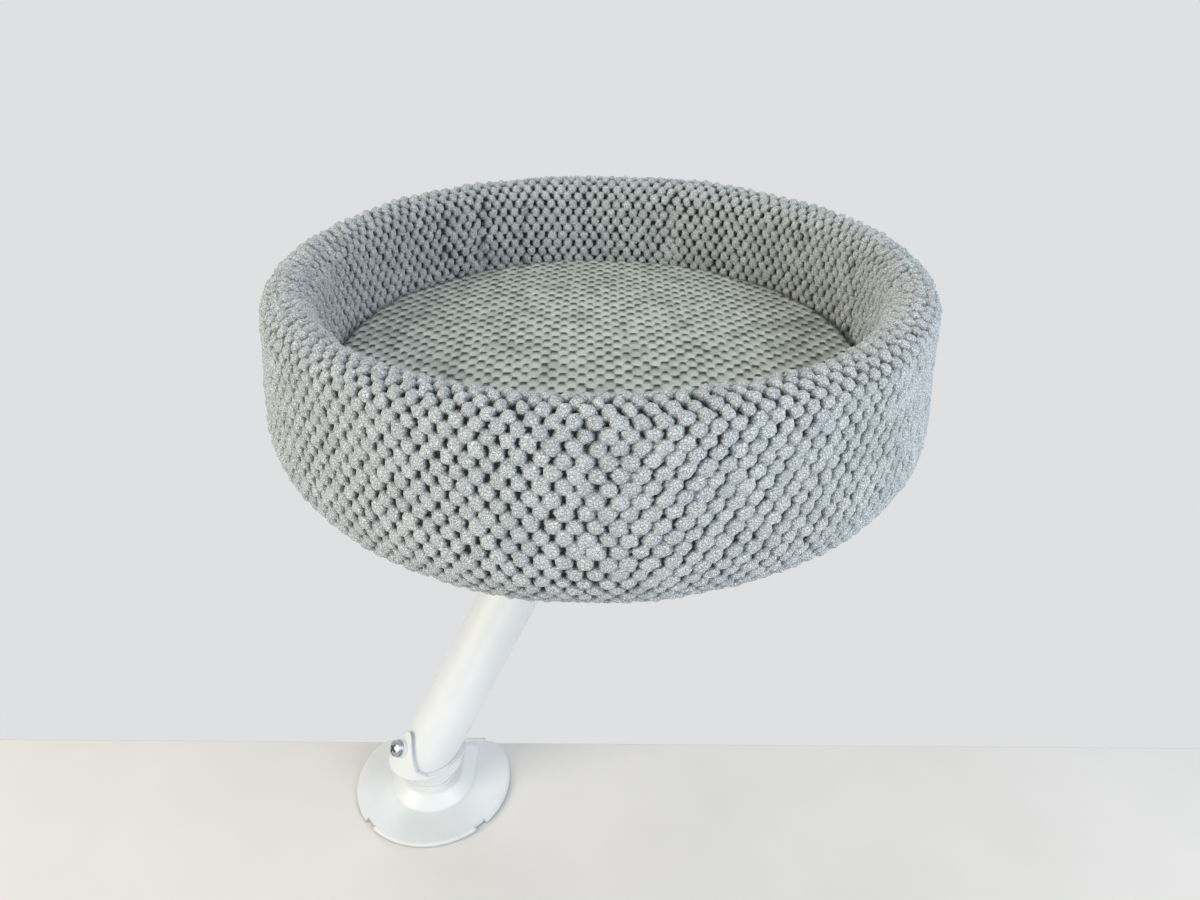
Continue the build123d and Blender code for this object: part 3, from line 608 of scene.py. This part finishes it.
def cells(tree, place, size, feature, **inputs):
    """Cells of the given size in millimetres: the distance from their edges or from their middles."""
    inputs = {"Vector": place, "Scale": 1 / (size * MM), **inputs}
    return add(tree, "ShaderNodeTexVoronoi", {"feature": feature}, inputs).outputs["Distance"]


def ramp(tree, factor, *stops):
    """Colours or greys at places from 0 to 1."""
    made = add(tree, "ShaderNodeValToRGB", inputs={"Fac": factor})
    band = made.color_ramp
    while len(band.elements) < len(stops):
        band.elements.new(0.5)
    for element, (place, colour) in zip(band.elements, stops):
        element.position = place
        element.color = srgb(colour)
    return made.outputs["Color"]


def blend_colours(tree, mode, factor, first, second):
    """Two colours mixed in a blend mode."""
    inputs = {0: factor, 6: first, 7: second}
    made = add(tree, "ShaderNodeMix", {"data_type": "RGBA", "blend_type": mode}, inputs)
    return made.outputs[2]


def span(tree, value, low, high):
    """A value from 0 to 1 moved to another span."""
    made = add(tree, "ShaderNodeMapRange", inputs={"Value": value, "To Min": low, "To Max": high})
    return made.outputs["Result"]


def relief(tree, height, depth, below=None):
    """A bump of the given depth in millimetres on top of another."""
    inputs = {"Height": height, "Distance": depth * MM, "Strength": 1.0}
    if below:
        inputs["Normal"] = below
    return add(tree, "ShaderNodeBump", inputs=inputs).outputs["Normal"]


def soft_edges(tree, radius):
    """Normals that round a hard edge over a radius in millimetres."""
    return add(tree, "ShaderNodeBevel", {"samples": 6}, {"Radius": radius * MM}).outputs["Normal"]


def join(tree, shader, **links):
    """Links outputs to the shader's inputs; an underscore stands for a space."""
    for key, value in links.items():
        tree.links.new(value, shader.inputs[key.replace("_", " ")])


def plain(shader, roughness=0.5, metallic=0.0, ior=1.5, sheen=0.0):
    """Values that are the same all over the surface."""
    shader.inputs["Roughness"].default_value = roughness
    shader.inputs["Metallic"].default_value = metallic
    shader.inputs["IOR"].default_value = ior
    shader.inputs["Sheen Weight"].default_value = sheen
    shader.inputs["Sheen Roughness"].default_value = 0.6


def bobble_fleece(name, hole_backing_and_shade, side, tip, curl_shade_and_speck_strength, curl_depth, brushed):
    """Chenille fleece knitted in bobbles. Pale tufts around small dark holes give the honeycomb that the eye
    reads first; the colour is painted darker with depth, down to the hole colour, which is the backing's dark
    and painted shade. Each tuft is a crumple of curled pile a millimetre across, so its face is flecked with
    painted shade between the curls and has no highlight; a weak sheen lightens what is seen at a slant.
    brushed is the tone of cloudy patches where the pile lies the other way."""
    material, tree, shader, place = start_material(name)
    plain(shader, roughness=0.92, ior=1.46, sheen=0.2)
    pile = add(tree, "ShaderNodeAttribute", {"attribute_name": "pile"}).outputs["Fac"]
    tint = add(tree, "ShaderNodeAttribute", {"attribute_name": "tint"}).outputs["Fac"]

    # Curls are cells a millimetre or two across, bent out of shape by noise
    noise_inputs = {"Vector": place, "Scale": 1 / (1.6 * MM), "Detail": 2.0}
    noise = add(tree, "ShaderNodeTexNoise", inputs=noise_inputs).outputs["Color"]
    bend = {0: noise, 1: [1.4 * MM] * 3, 2: place}
    bent = add(tree, "ShaderNodeVectorMath", {"operation": "MULTIPLY_ADD"}, bend).outputs["Vector"]
    curl = cells(tree, bent, 1.7, "DISTANCE_TO_EDGE")
    fibre = grain(tree, place, 0.7, 2.0, 0.6)

    # Painted shade: the colour runs from the tip colour through the side colour to the hole colour as the
    # depth falls, so holes and creases are painted darker; the holes also show the dark backing
    depth = calculate(tree, "MULTIPLY_ADD", curl, 0.2, pile)
    colour = ramp(tree, depth, (0.0, hole_backing_and_shade), (0.2, hole_backing_and_shade), (0.44, side), (0.8, tip))
    # Painted shade in the crevices between the curls: darker where the curl cells meet. The strength below
    # also sets the random fibre specks
    curl_crevice_shade = ramp(tree, curl, (0.0, "#9DA2A3"), (0.08, "#DFE2E2"), (0.2, "#FFFFFF"))
    colour = blend_colours(tree, "MULTIPLY", curl_shade_and_speck_strength, colour, curl_crevice_shade)
    specks = ramp(tree, fibre, (0.36, "#A3A8A9"), (0.5, "#EEF0F0"), (0.6, "#FFFFFF"))
    colour = blend_colours(tree, "MULTIPLY", curl_shade_and_speck_strength, colour, specks)
    shade = ramp(tree, tint, (0.0, "#F0F1F1"), (1.0, "#FFFFFF"))
    colour = blend_colours(tree, "MULTIPLY", 1.0, colour, shade)
    patches = ramp(tree, grain(tree, place, 26, 4.0, 0.65), (0.34, brushed), (0.5, "#FFFFFF"))
    colour = blend_colours(tree, "MULTIPLY", 1.0, colour, patches)
    normal = relief(tree, fibre, 0.25, relief(tree, curl, curl_depth))
    join(tree, shader, Base_Color=colour, Normal=normal)
    return material


def powder_coat(name, edge_radius):
    """White powder coat, sprayed dry and baked: semi-gloss, and its faint orange peel softens highlights. It
    flows round edges, and pressed sheet below it has none that is sharp."""
    material, tree, shader, place = start_material(name)
    plain(shader, ior=1.52)
    peel = grain(tree, place, 1.5, 1.5, 0.4)
    colour = ramp(tree, grain(tree, place, 30, 2.0), (0.3, "#D9DCDC"), (0.7, "#DFE2E2"))
    gloss = span(tree, grain(tree, place, 9, 2.0), 0.34, 0.44)
    normal = relief(tree, peel, 0.05, soft_edges(tree, edge_radius))
    join(tree, shader, Base_Color=colour, Roughness=gloss, Normal=normal)
    return material


def zinc_plate():
    """Bright zinc plate on pressed steel: bluish grey, with fine drawn marks and cloudy bath patches."""
    material, tree, shader, place = start_material("bright_zinc_plate")
    plain(shader, metallic=1.0)
    colour = ramp(tree, grain(tree, place, 3, 3.0), (0.3, "#8E969C"), (0.7, "#BFC5C9"))
    marks = grain(tree, place, 0.35, 2.0, 0.6, (1.0, 1.0, 0.12))
    gloss = span(tree, grain(tree, place, 1.8, 3.0), 0.16, 0.36)
    normal = relief(tree, marks, 0.012, soft_edges(tree, 0.3))
    join(tree, shader, Base_Color=colour, Roughness=gloss, Normal=normal)
    return material


def moulded_plastic(name, dark, light, roughness):
    """Injection-moulded plastic with a spark-eroded grain, which keeps its highlights dull and even."""
    material, tree, shader, place = start_material(name)
    plain(shader, roughness=roughness, ior=1.49)
    colour = ramp(tree, grain(tree, place, 14, 2.0), (0.3, dark), (0.7, light))
    normal = relief(tree, grain(tree, place, 0.28, 2.0), 0.03, soft_edges(tree, 0.4))
    join(tree, shader, Base_Color=colour, Normal=normal)
    return material


def pad_rubber():
    """Calendered rubber sheet: matt dark grey, with talc-like mottling and a fine cloth print."""
    material, tree, shader, place = start_material("pad_rubber")
    plain(shader, roughness=0.85, ior=1.52)
    colour = ramp(tree, grain(tree, place, 4, 4.0), (0.3, "#2B2C2E"), (0.7, "#3B3C3E"))
    join(tree, shader, Base_Color=colour, Normal=relief(tree, grain(tree, place, 0.5, 3.0), 0.05))
    return material


def bonded_cloth(name, dark, light):
    """Spun-bonded cloth, pressed with a close grid of dots that holds its fibres: dull and finely dimpled."""
    material, tree, shader, place = start_material(name)
    plain(shader, roughness=0.9, sheen=0.1)
    dots = cells(tree, place, 1.3, "F1", Randomness=0.12)
    dimple = ramp(tree, dots, (0.15, "#000000"), (0.38, "#FFFFFF"))
    fibre = grain(tree, place, 0.7, 4.0, 0.7, (1.0, 0.3, 1.0))
    colour = ramp(tree, fibre, (0.3, dark), (0.7, light))
    normal = relief(tree, fibre, 0.06, relief(tree, dimple, 0.12))
    join(tree, shader, Base_Color=colour, Normal=normal)
    return material


def open_foam():
    """Cut polyurethane foam: cream, with open cells that pit the face and swallow highlights. Each cell is
    painted darker towards its middle, as painted shade in the pit.
    """
    material, tree, shader, place = start_material("open_cell_foam")
    plain(shader, roughness=0.95, ior=1.45)
    pits = cells(tree, place, 1.1, "DISTANCE_TO_EDGE")
    # Painted shade: the middle of each open cell is darker than its walls
    colour = ramp(tree, pits, (0.0, "#F2EBD2"), (0.22, "#D9CFAF"))
    join(tree, shader, Base_Color=colour, Normal=relief(tree, pits, 0.4))
    return material


def plywood():
    """Birch plywood: veneer figure on the faces, and thin light and dark plies on the sawn edge."""
    material, tree, shader, place = start_material("birch_plywood")
    plain(shader, roughness=0.6)
    figure = grain(tree, place, 5, 5.0, 0.6, (0.06, 1.0, 1.0))
    face = ramp(tree, figure, (0.3, "#B98F5E"), (0.7, "#D8B98C"))
    settings = {"wave_type": "BANDS", "bands_direction": "Z"}
    inputs = {"Vector": place, "Scale": 1 / (2 * math.pi * 1.5 * MM / 10), "Distortion": 0.6}
    bands = add(tree, "ShaderNodeTexWave", settings, inputs).outputs["Fac"]
    plies = ramp(tree, bands, (0.3, "#8E6B42"), (0.7, "#D3B384"))
    normal = add(tree, "ShaderNodeNewGeometry").outputs["Normal"]
    upward = add(tree, "ShaderNodeSeparateXYZ", inputs={0: normal}).outputs["Z"]
    level = calculate(tree, "ABSOLUTE", upward)
    colour = blend_colours(tree, "MIX", level, plies, face)
    join(tree, shader, Base_Color=colour, Normal=relief(tree, figure, 0.05))
    return material


def pale_floor():
    """Plain pale board with a barely seen mottling."""
    material, tree, shader, place = start_material("pale_floor")
    plain(shader, roughness=0.7)
    colour = ramp(tree, grain(tree, place, 90, 2.0), (0.3, "#DAD8D4"), (0.7, "#DEDCD8"))
    join(tree, shader, Base_Color=colour)
    return material


coat = powder_coat("white_powder_coat", 0.8)
sheet_coat = powder_coat("white_coat_on_pressed_sheet", 2.8)
zinc = zinc_plate()
black_plastic = moulded_plastic("black_plastic", "#1B1C1D", "#232425", 0.48)
nylon = moulded_plastic("white_nylon", "#D9D8D2", "#E2E1DC", 0.42)
rubber = pad_rubber()
ring_fleece = bobble_fleece("ring_bobble_fleece", "#1F2425", "#9AA1A2", "#F0F3F3", 0.8, 1.6, "#F0F1F1")
cushion_fleece = bobble_fleece("cushion_flat_fleece", "#3C413D", "#959B93", "#D6DBD2", 0.25, 0.4, "#DCDFDC")
dark_cloth = bonded_cloth("underside_cloth", "#2C2D2E", "#3B3C3E")
lining_cloth = bonded_cloth("lining_cloth", "#8E908E", "#A2A4A2")
foam = open_foam()
ply = plywood()

CLAMP_METAL = ("jaw_studs", "jaw_washers", "jaw_nuts", "pressure_foot", "retaining_ring", "knob_pin")
PIVOT_METAL = ("pivot_bolt", "pivot_washer", "pivot_nut")
POLE_METAL = ("pole_screw", "pole_screw_washer", "pole_weld_nut")
BOARD_METAL = ("flange_screws", "flange_washers", "tee_nuts")
FINISHES = {
    coat: ("lower_jaw", "screw_nut", "pole_socket", "pole", "top_flange"),
    sheet_coat: ("base_plate",),
    zinc: CLAMP_METAL + PIVOT_METAL + POLE_METAL + BOARD_METAL,
    black_plastic: ("screw_knob",),
    nylon: ("thrust_washer",),
    rubber: ("desk_pad", "edge_pad", "foot_pad"),
    ply: ("base_board",),
}
for finish, names in FINISHES.items():
    for name in names:
        nodes[name].data.materials.clear()
        nodes[name].data.materials.append(finish)


def dress(piece, material, body, slot, *replaced):
    """Gives a new piece its material and body, and hides the nodes it stands for. slot is not used."""
    piece.data.materials.append(material)
    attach(piece, body)
    if replaced:
        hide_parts(*replaced)


# Ring cover, in sewn panels
ring_section = cover_profile()
first = 0
for label, columns in PANELS:
    panel = ring_panel(f"cover_panel_{label}", ring_section, first, first + columns)
    dress(panel, ring_fleece, "swivel", "bobble_fleece", "bed_cover")
    first += columns

# Foam ring inside the cover
foam_ring = turned_solid("foam_ring", foam_section(ring_section), segments=160, ring=True)
dress(foam_ring, foam, "swivel", "foam", "wall_core")

# Cloth below the bed and its line of stitches
dress(underside_cloth(), dark_cloth, "swivel", "underside_cloth", "underside_cover")
seam_line = stitches(
    "underside_stitches",
    radius=UNDERSIDE_RADIUS - 4,
    height=BED_Z - 0.1,
    count=190,
    length=3.2,
    thickness=0.38,
)
dress(seam_line, dark_cloth, "swivel", "underside_cloth")

# Floor lining under the cushion
lining = turned_solid("floor_lining_cloth", lining_section())
dress(lining, lining_cloth, "swivel", "underside_cloth", "floor_lining")

# Cushion: plush top, plain base and foam core
plush = cushion_top()
dress(plush, cushion_fleece, "cushion", "cushion_fleece", "cushion_cover")
cushion_base = turned_solid("cushion_base_cloth", cushion_base_section())
dress(cushion_base, lining_cloth, "cushion", "cushion_fleece", "cushion_cover")
cushion_foam = turned_solid("cushion_foam", cushion_core_section(), segments=120)
dress(cushion_foam, foam, "cushion", "foam", "cushion_core")

# Clamp screw with its thread
screw_low, screw_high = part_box("clamp_screw")
screw_length = (screw_high.z - screw_low.z) / MM
rod = threaded_rod(
    "threaded_clamp_screw",
    foot=screw_low.z / MM,
    length=screw_length,
    radius=5.0,
    pitch=2.0,
    start=2.0,
    end=screw_length - 12,
)
dress(rod, zinc, "screw", "zinc_steel", "clamp_screw")

# Weld bead where the leaning pole meets the flange in an ellipse
flange_height = flange_low.z / MM
reach = (flange_height - POLE_CROSSING) * math.tan(POLE_TILT)
clearance, drop = 0.7, 0.4
weld = bead(
    "flange_weld",
    centre=(reach * math.cos(POLE_AZIMUTH), reach * math.sin(POLE_AZIMUTH), flange_height - drop),
    radii=(POLE_RADIUS / math.cos(POLE_TILT) + clearance, POLE_RADIUS + clearance),
    direction=POLE_AZIMUTH,
    thickness=1.9,
)
dress(weld, coat, "swivel", "white_coat")

# Stage
floor = stage_board()
floor.data.materials.append(pale_floor())

# Lamps, in metres and watts
AIM = (0.12, 0.05, 0.28)
LAMPS = (
    ("key_lamp", (1.2, -0.85, 1.2), 0.9, 15.0, "#EEF5FF"),
    ("fill_lamp", (-1.3, -0.8, 1.0), 1.1, 22.5, "#FFF5E5"),
    ("low_lamp", (0.1, -1.6, 0.1), 1.0, 5.0, "#F1F6FF"),
    ("side_lamp", (1.5, -0.2, 0.3), 1.0, 6.0, "#E6F0FF"),
    ("rear_lamp", (-0.4, 1.5, 1.2), 1.1, 9.0, "#FFFFFF"),
)
for name, place, size, power, colour in LAMPS:
    light = bpy.data.lights.new(name, "AREA")
    light.size = size
    light.energy = power
    light.color = srgb(colour)[:3]
    lamp = bpy.data.objects.new(name, light)
    lamp.location = place
    lamp.rotation_euler = (Vector(AIM) - Vector(place)).to_track_quat("-Z", "Y").to_euler()
    bpy.context.scene.collection.objects.link(lamp)

# World: a pale ground for the eye and for reflections, and a dimmer one that lights the object
SEEN_GROUND, LIGHTING_GROUND = "#DFE0E2", "#A4A7A9"
world = bpy.data.worlds.new("studio")
bpy.context.scene.world = world
world.use_nodes = True
tree = world.node_tree
background = next(n for n in tree.nodes if n.type == "BACKGROUND")
rays = add(tree, "ShaderNodeLightPath").outputs
seen = calculate(tree, "MAXIMUM", rays["Is Camera Ray"], rays["Is Glossy Ray"])
seen = calculate(tree, "MAXIMUM", seen, rays["Is Transmission Ray"])
ground = blend_colours(tree, "MIX", seen, srgb(LIGHTING_GROUND), srgb(SEEN_GROUND))
tree.links.new(ground, background.inputs["Color"])
background.inputs["Strength"].default_value = 1.0

# Camera, fitted to the photograph, in metres
CAMERA_PLACE = (0.12334, -0.45012, 0.57062)
CAMERA_DOWN, CAMERA_ROLL = math.radians(31.474), math.radians(0.4255)
forward = Vector((0, math.cos(CAMERA_DOWN), -math.sin(CAMERA_DOWN)))
level_right = Vector((1, 0, 0))
level_up = level_right.cross(forward)
rolled_right = level_right * math.cos(CAMERA_ROLL) + level_up * math.sin(CAMERA_ROLL)
rolled_up = level_up * math.cos(CAMERA_ROLL) - level_right * math.sin(CAMERA_ROLL)
facing = Matrix((rolled_right, rolled_up, -forward)).transposed().to_4x4()
camera_data = bpy.data.cameras.new("camera")
camera_data.sensor_width = 36
camera_data.lens = 27
camera_data.clip_start = 0.01
camera_data.clip_end = 20
camera = bpy.data.objects.new("camera", camera_data)
bpy.context.scene.collection.objects.link(camera)
camera.matrix_world = Matrix.Translation(CAMERA_PLACE) @ facing
bpy.context.scene.camera = camera
bpy.context.scene.view_settings.view_transform = "Standard"
